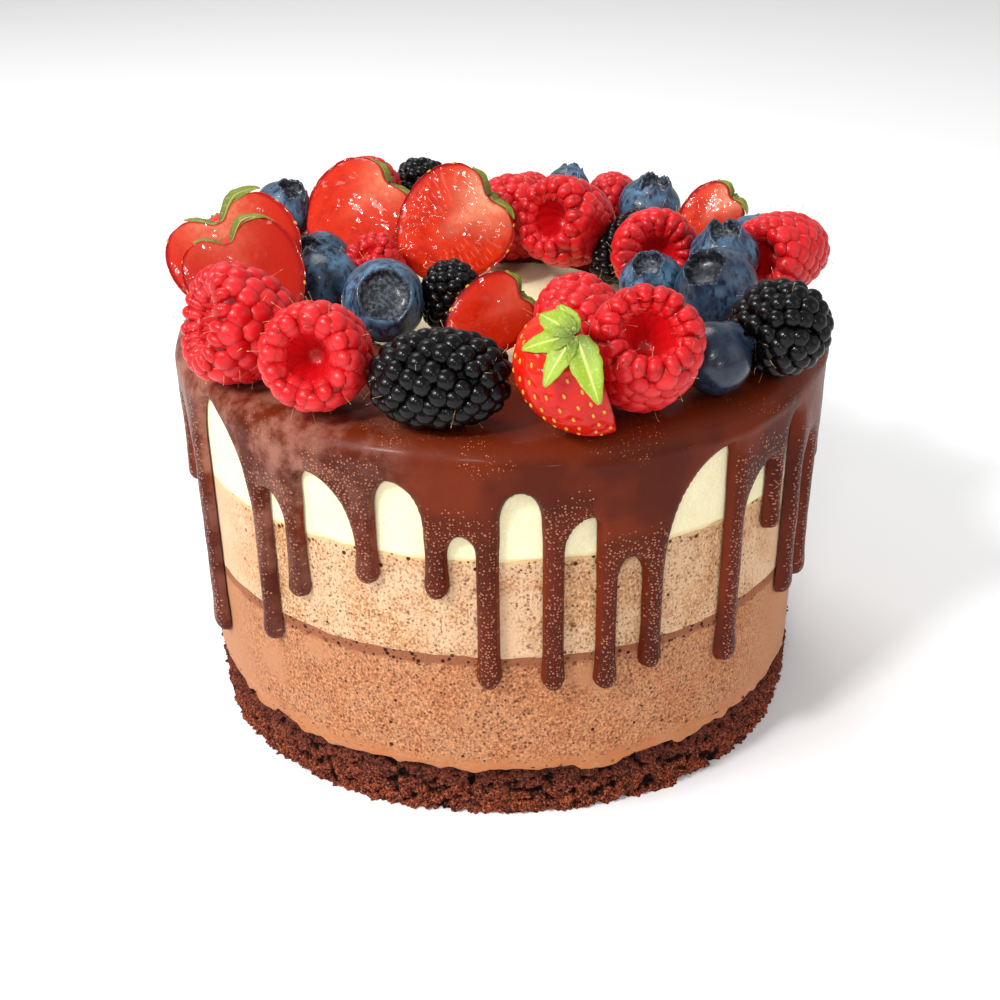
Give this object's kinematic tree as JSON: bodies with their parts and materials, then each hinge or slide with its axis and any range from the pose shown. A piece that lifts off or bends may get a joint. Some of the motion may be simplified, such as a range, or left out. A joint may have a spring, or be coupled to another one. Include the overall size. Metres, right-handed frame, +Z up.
{
  "type": "triple chocolate mousse cake",
  "caption": "Round mousse cake with a sponge base, layers of dark, milk and white chocolate mousse, a chocolate glaze that drips down the side and a ring of fresh berries on top.",
  "frame": {"origin": "middle of the sponge's flat underside, where the cake rests", "axes": "+Z up through the cake, -Y towards the front that the picture shows, +X to the right seen from the front"},
  "size_m": [0.1697, 0.174, 0.1361],
  "materials": {
    "sponge": "dark, moist, open crumb",
    "dark_mousse": "satin, full of tiny pores",
    "milk_mousse": "satin, full of tiny pores",
    "white_mousse": "satin, almost smooth",
    "chocolate_glaze": "soft gloss, with fine condensation",
    "raspberry": "soft gloss on round drupelets",
    "bramble": "glossy round drupelets",
    "blueberry": "dusty bloom over dark skin",
    "strawberry": "wet, glazed",
    "strawberry_leaf": "dull, veined"
  },
  "bodies": {
    "root": {"sponge": "sponge", "dark_mousse": "dark_mousse", "milk_mousse": "milk_mousse", "white_mousse": "white_mousse", "chocolate_glaze": "chocolate_glaze", "raspberry_01": "raspberry", "raspberry_02": "raspberry", "raspberry_03": "raspberry", "raspberry_04": "raspberry", "raspberry_05": "raspberry", "raspberry_06": "raspberry", "raspberry_07": "raspberry", "raspberry_08": "raspberry", "raspberry_09": "raspberry", "raspberry_10": "raspberry", "raspberry_11": "raspberry", "raspberry_12": "raspberry", "bramble_01": "bramble", "bramble_02": "bramble", "bramble_03": "bramble", "bramble_04": "bramble", "bramble_05": "bramble", "blueberry_01": "blueberry", "blueberry_02": "blueberry", "blueberry_03": "blueberry", "blueberry_04": "blueberry", "blueberry_05": "blueberry", "blueberry_06": "blueberry", "blueberry_07": "blueberry", "blueberry_08": "blueberry", "blueberry_09": "blueberry", "blueberry_10": "blueberry", "blueberry_11": "blueberry", "blueberry_12": "blueberry", "blueberry_13": "blueberry", "strawberry_01": "strawberry", "strawberry_02": "strawberry", "strawberry_03": "strawberry", "strawberry_04": "strawberry", "strawberry_05": "strawberry", "strawberry_06": "strawberry", "strawberry_07": "strawberry", "strawberry_08": "strawberry", "strawberry_01_calyx": "strawberry_leaf", "strawberry_02_calyx": "strawberry_leaf", "strawberry_03_calyx": "strawberry_leaf", "strawberry_04_calyx": "strawberry_leaf", "strawberry_05_calyx": "strawberry_leaf", "strawberry_06_calyx": "strawberry_leaf", "strawberry_07_calyx": "strawberry_leaf"}
  },
  "joints": []
}
